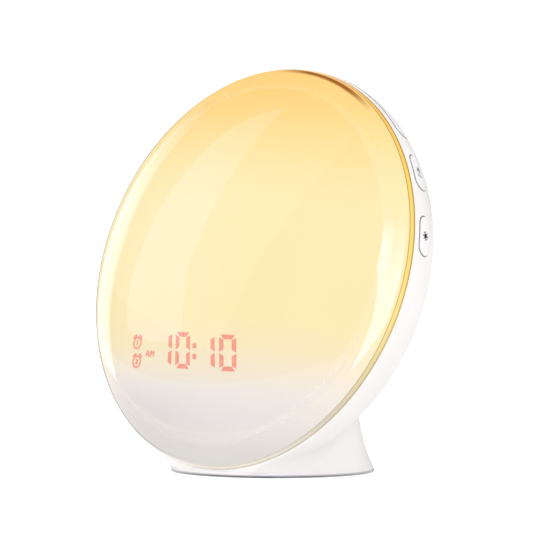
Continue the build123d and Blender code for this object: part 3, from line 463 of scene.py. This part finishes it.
finishes = {
    shell_white: ("rear_shell", "base_cover", "battery_door"),
    key_white: ("key_light", "key_sound", "key_up", "key_down", "snooze_bar"),
    inner_white: (
        "display_housing", "display_standoffs", "lead_sockets", "mounting_tray", "reflector",
        "speaker_retainer", "speaker_terminals",
    ),
    inner_black: (
        "board_link", "dc_jack_body", "display_header", "plunger_down", "plunger_light",
        "plunger_snooze", "plunger_sound", "plunger_up", "switch_bodies",
    ),
    board_white: ("display_board", "led_board"),
    board_green: ("main_board", "power_board"),
    phosphor: ("led_chips",),
    chip_black: ("main_board_chips",),
    rubber_grey: ("feet",),
    foam_black: ("speaker_gasket",),
    ferrite: ("speaker_magnet",),
    cone_paper: ("speaker_cone",),
    wire_red: ("battery_leads", "power_lead", "speaker_lead"),
    adhesive: ("lens_adhesive",),
    steel: (
        "base_screws", "battery_door_screw", "coin_cell", "main_board_screws", "power_board_screws",
        "speaker_frame", "speaker_screws", "tray_screws",
    ),
    nickel: ("battery_contact", "dc_jack_pin"),
    sleeve: ("capacitors",),
    glow: ("diffuser",),
    coral: ("display_segments",),
    clear: ("front_lens",),
}
for material, nodes in finishes.items():
    for node in nodes:
        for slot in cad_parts[node].material_slots:
            slot.material = material

# ------------------------------------------------------------------ symbols printed on the keys
PRINT_PROUD = 0.02 * MM
ABOVE_KEY = 8 * MM  # height over the rim from which the points are dropped onto the key
THIN = 0.5  # widths of line, mm
BOLD = 0.6


def printed(name, word, angle, polygons):
    """Symbol on a key: polygons in mm, along the rim (clockwise) and towards the face."""
    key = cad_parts["key_" + word]
    key_mesh = key.evaluated_get(bpy.context.evaluated_depsgraph_get())
    into_key = key.matrix_world.inverted()
    radial = ACROSS * math.sin(angle) + UPWARD * math.cos(angle)
    along_rim = ACROSS * math.cos(angle) - UPWARD * math.sin(angle)
    points, faces = [], []
    for polygon in polygons:
        first = len(points)
        for run, rise in polygon:
            start = CENTRE + radial * (SHELL_RADIUS + ABOVE_KEY) - OUTWARD * (KEY_DEPTH - rise * MM)
            start += along_rim * run * MM
            found, place, normal, _ = key_mesh.ray_cast(into_key @ start, into_key.to_3x3() @ -radial)
            if not found:
                raise SystemExit(f"{name}: no surface under a point of the symbol")
            points.append(key.matrix_world @ (place + normal * PRINT_PROUD))
        faces.append(tuple(range(first, len(points))))
    mesh = bpy.data.meshes.new(name)
    mesh.from_pydata(points, [], faces)
    piece = bpy.data.objects.new(name, mesh)
    bpy.context.scene.collection.objects.link(piece)
    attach(piece, word + "_key")
    return piece


def stroke(start, end, width, parts=5):
    """Straight line as short quads, so that it follows the key's curved top."""
    (x0, y0), (x1, y1) = start, end
    length = math.hypot(x1 - x0, y1 - y0)
    nx = (y0 - y1) / length * width / 2
    ny = (x1 - x0) / length * width / 2
    stops = [(x0 + (x1 - x0) * part / parts, y0 + (y1 - y0) * part / parts) for part in range(parts + 1)]
    return [
        [(xa + nx, ya + ny), (xb + nx, yb + ny), (xb - nx, yb - ny), (xa - nx, ya - ny)]
        for (xa, ya), (xb, yb) in zip(stops, stops[1:])
    ]


def around(count, radius):
    turns = [2 * math.pi * item / count for item in range(count)]
    return [(radius * math.cos(turn), radius * math.sin(turn)) for turn in turns]


def spokes(count, near, far, width):
    quads = []
    for start, end in zip(around(count, near), around(count, far)):
        quads += stroke(start, end, width, 2)
    return quads


def disc(radius, count=12):
    """Disc as triangles from its middle."""
    rim = around(count, radius)
    return [[(0, 0), rim[item], rim[(item + 1) % count]] for item in range(count)]


sun = disc(1.1) + spokes(8, 1.25, 2.0, BOLD)
horn = [[(-2.4, 0), (-1.3, 0), (-1.3, side * 0.7), (-2.4, side * 0.7)] for side in (-1, 1)]
horn += [[(-1.3, 0), (-0.2, 0), (-0.2, side * 1.7), (-1.3, side * 0.7)] for side in (-1, 1)]
waves = stroke((0.8, -1.0), (0.8, 1.0), THIN) + stroke((2.0, -1.6), (2.0, 1.6), THIN)
minus = stroke((0, -1.5), (0, 1.5), THIN)
plus = stroke((-1.5, 0), (1.5, 0), THIN) + minus
ink = moulded("ink_black", srgb(24, 24, 26), srgb(16, 16, 18), 0.5, 3000, 0.004 * MM)
grey_ink = moulded("ink_grey", srgb(128, 129, 132), srgb(112, 113, 116), 0.5, 3000, 0.004 * MM)
symbols = (
    ("light", LOWER_KEY, sun, ink),
    ("sound", UPPER_KEY, horn + waves, grey_ink),
    ("up", -UPPER_KEY, plus, grey_ink),
    ("down", -LOWER_KEY, minus, grey_ink),
)
for word, angle, polygons, material in symbols:
    dress(printed("symbol_" + word, word, angle, polygons), material)


# ------------------------------------------------------------------ camera
def direction(azimuth, elevation):
    """Unit vector towards an azimuth, where 0 is in front of the clock and 90 on its right."""
    a, e = math.radians(azimuth), math.radians(elevation)
    return Vector((math.sin(a) * math.cos(e), -math.cos(a) * math.cos(e), math.sin(e)))


AZIMUTH = 42.7
ELEVATION = 2.45
DISTANCE = 2.62
AIM_RIGHT = 8.22 * MM
AIM_UP = -1.32 * MM
SENSOR_WIDTH = 36.0
FOCAL_LENGTH = 417.1
NEAREST = 0.05
back = direction(AZIMUTH, ELEVATION)
right = Vector((math.cos(math.radians(AZIMUTH)), math.sin(math.radians(AZIMUTH)), 0))
rise = back.cross(right)
camera_data = bpy.data.cameras.new("camera")
camera_data.sensor_width = SENSOR_WIDTH
camera_data.lens = FOCAL_LENGTH
camera_data.clip_start = NEAREST
camera = bpy.data.objects.new("camera", camera_data)
camera.location = CENTRE + right * AIM_RIGHT + rise * AIM_UP + back * DISTANCE
camera.rotation_mode = "QUATERNION"
camera.rotation_quaternion = Matrix((right, rise, back)).transposed().to_quaternion()
bpy.context.scene.collection.objects.link(camera)
bpy.context.scene.camera = camera
bpy.context.scene.view_settings.view_transform = "Standard"

# ------------------------------------------------------------------ reflections in the cover
PICTURE_SIZE = 540  # pixels across the photograph, and down it
PIXEL = SENSOR_WIDTH / FOCAL_LENGTH / PICTURE_SIZE  # its size at one metre from the camera
CARD_DISTANCE = 3.0

# Profile of the cover's face, a cubic curve from its middle to its edge: radius and height.
DOME_HEIGHT = 16 * MM
FLAT_RADIUS = 45 * MM
SHOULDER_HEIGHT = 6 * MM
SHOULDER_BULGE = 0.54 * MM
PROFILE_POINTS = 400
profile = interpolate_bezier(
    Vector((0, DOME_HEIGHT)),
    Vector((FLAT_RADIUS, DOME_HEIGHT)),
    Vector((FACE_RADIUS + SHOULDER_BULGE, SHOULDER_HEIGHT)),
    Vector((FACE_RADIUS, 0)),
    PROFILE_POINTS,
)
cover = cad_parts["front_lens"].evaluated_get(bpy.context.evaluated_depsgraph_get())


def face_normal(offset):
    """Which way the cover faces, at an offset from the lamp's middle."""
    sideways = offset - OUTWARD * offset.dot(OUTWARD)
    for near, far in zip(profile, profile[1:]):
        if far.x >= sideways.length:
            break
    return sideways.normalized() * (near.y - far.y) + OUTWARD * (far.x - near.x)


def reflected(x, y):
    """Azimuth and elevation of what the cover reflects at a pixel of the photograph."""
    ray = (right * (x - PICTURE_SIZE / 2) - rise * (y - PICTURE_SIZE / 2)) * PIXEL - back
    found, place, _, _ = cover.ray_cast(camera.location, ray)
    if not found:
        raise SystemExit(f"pixel {x}, {y} is not on the cover")
    offset = place - CENTRE
    bounce = ray.normalized().reflect(face_normal(offset))
    run = offset.dot(bounce)
    spot = offset + bounce * (math.sqrt(run**2 - offset.length_squared + CARD_DISTANCE**2) - run)
    return math.degrees(math.atan2(spot.x, -spot.y)), math.degrees(math.asin(spot.z / CARD_DISTANCE))


# ------------------------------------------------------------------ studio
def soft_box(name, azimuth, low, high, half_width, distance, radiance):
    """Light that fills the elevations low..high at an azimuth, for the shading of matt surfaces."""
    data = bpy.data.lights.new(name, "AREA")
    data.shape = "RECTANGLE"
    data.size = 2 * distance * math.tan(math.radians(half_width))
    data.size_y = 2 * distance * math.tan(math.radians((high - low) / 2))
    data.energy = radiance * math.pi * data.size * data.size_y
    light = bpy.data.objects.new(name, data)
    light.location = CENTRE + direction(azimuth, (low + high) / 2) * distance
    light.rotation_mode = "QUATERNION"
    light.rotation_quaternion = (CENTRE - light.location).to_track_quat("-Z", "Y")
    light.visible_camera = False
    light.visible_glossy = False
    bpy.context.scene.collection.objects.link(light)


def card(name, columns, radiance, tint, fade=0.0):
    """Pale card that only glossy surfaces show, from columns of azimuth, lower and upper elevation.
    Its brightness falls away over the fade's share of its height, below the upper edge."""
    points, faces, shades = [], [], []
    for azimuth, low, high in columns:
        for elevation, shade in ((low, 1), (high - fade * (high - low), 1), (high, 0 if fade else 1)):
            points.append(CENTRE + direction(azimuth, elevation) * CARD_DISTANCE)
            shades.append(shade * radiance)
    for column in range(len(columns) - 1):
        here, there = 3 * column, 3 * column + 3
        faces.append((here, there, there + 1, here + 1))
        if fade:
            faces.append((here + 1, there + 1, there + 2, here + 2))
    mesh = bpy.data.meshes.new(name)
    mesh.from_pydata(points, [], faces)
    tone = mesh.attributes.new("tone", "FLOAT", "POINT")
    tone.data.foreach_set("value", shades)
    piece = bpy.data.objects.new(name, mesh)
    bpy.context.scene.collection.objects.link(piece)
    m = Nodes(name)
    attribute = m.node("ShaderNodeAttribute", attribute_name="tone")
    m.set(Base_Color=(0, 0, 0, 1), Specular_IOR_Level=0.0)
    m.set(Emission_Color=tint, Emission_Strength=attribute.outputs["Fac"])
    dress(piece, m.material)
    for ray in ("camera", "diffuse", "transmission", "shadow"):
        setattr(piece, "visible_" + ray, False)


FLOOR_SIZE = 60.0
FLOOR_OWN_LIGHT = 0.55  # only the camera sees it
FOOT_SHADOW = (30 * MM, 46 * MM)  # nearer to the foot's middle the floor gives off nothing
bpy.ops.mesh.primitive_plane_add(size=FLOOR_SIZE, location=(0, 0, 0))
floor = bpy.context.object
floor.name = "studio_floor"
floor_look = Nodes("studio_floor")
seen = floor_look.node("ShaderNodeLightPath").outputs["Is Camera Ray"]
own_light = floor_look.spread(seen, 0, 1, 0.0, FLOOR_OWN_LIGHT, smooth=False)
clear_of_foot = floor_look.spread(floor_look.vectors("LENGTH", floor_look.place()), *FOOT_SHADOW)
floor_look.set(
    Base_Color=floor_look.mix(floor_look.clouds(3, 0.0, 1.0), srgb(247, 247, 247), srgb(251, 251, 251)),
    Roughness=0.9,
    Specular_IOR_Level=0.0,
    Emission_Color=(1, 1, 1, 1),
    Emission_Strength=floor_look.maths("MULTIPLY", own_light, clear_of_foot),
)
dress(floor, floor_look.material)

soft_box("key_light", azimuth=-62, low=12, high=60, half_width=20, distance=1.4, radiance=0.5)
soft_box("fill_light", azimuth=60, low=5, high=60, half_width=24, distance=1.8, radiance=0.8)
soft_box("top_light", azimuth=0, low=70, high=110, half_width=22, distance=1.8, radiance=0.4)

# The daylight is cool beside the lamp's own light.
DAYLIGHT = (0.46, 0.57, 1.0, 1)
PALE_DAYLIGHT = (0.7, 0.78, 1.0, 1)
# Pixels of the photograph on the edges of what the cover reflects. The pale patch at the left has its
# left edge, from the top down, and its top and right-hand edge. The horizon runs from left to right.
PATCH_LEFT = ((132, 275), (128, 296), (127, 310), (128, 330))
PATCH_RIGHT = ((265, 112), (287, 108), (190, 260), (182, 337))
HORIZON = ((112, 352), (145, 375), (206, 385), (300, 370), (350, 350), (369, 325))

# Columns of each card: azimuth, lower and upper elevation. The tall card gives the patch at the left,
# the left card the bright left edge, the low card the pale lower part under the horizon, and the front
# card the patch at the right edge.
CARD_BOTTOM = -12
TALL_TOPS = (22, 27, 30, 34)  # over the left edge
TALL_BOTTOMS = (9, 9.5, 10, 10.5)  # under the right-hand edge
tall_card = [(*reflected(*pixel), top) for pixel, top in zip(PATCH_LEFT, TALL_TOPS)]
for pixel, bottom in zip(PATCH_RIGHT, TALL_BOTTOMS):
    azimuth, top = reflected(*pixel)
    tall_card.append((azimuth, bottom, top))
low_card = []
for pixel in HORIZON:
    azimuth, top = reflected(*pixel)
    low_card.append((azimuth, CARD_BOTTOM, top))
left_card = [(azimuth, CARD_BOTTOM, top) for azimuth, top in ((-95, 32), (-81, 34), (-78, 22), (-74, 5))]
front_card = ((-5, 28, 38), (0, 24, 40), (5, 15, 42), (8, CARD_BOTTOM, 42), (60, CARD_BOTTOM, 42))
card("tall_card", tall_card, 1.7, DAYLIGHT)
card("left_card", left_card, 3.4, PALE_DAYLIGHT, 0.35)
card("low_card", low_card, 1.2, DAYLIGHT)
card("front_card", front_card, 8.0, DAYLIGHT, 0.4)

# Strength of the white world: as it lights matt surfaces, in reflections, and as the backdrop.
AMBIENT = 0.92
REFLECTED = 0.25
BACKDROP = 1.02
world = bpy.data.worlds.new("studio")
bpy.context.scene.world = world
world.use_nodes = True
sky = world.node_tree
background = sky.nodes["Background"]
background.inputs["Color"].default_value = (1, 1, 1, 1)
path = sky.nodes.new("ShaderNodeLightPath")
lit_or_reflected = sky.nodes.new("ShaderNodeMapRange")
lit_or_reflected.inputs["To Min"].default_value = AMBIENT
lit_or_reflected.inputs["To Max"].default_value = REFLECTED
strength = sky.nodes.new("ShaderNodeMapRange")
strength.inputs["To Max"].default_value = BACKDROP
sky.links.new(path.outputs["Is Glossy Ray"], lit_or_reflected.inputs["Value"])
sky.links.new(lit_or_reflected.outputs[0], strength.inputs["To Min"])
sky.links.new(path.outputs["Is Camera Ray"], strength.inputs["Value"])
sky.links.new(strength.outputs[0], background.inputs["Strength"])
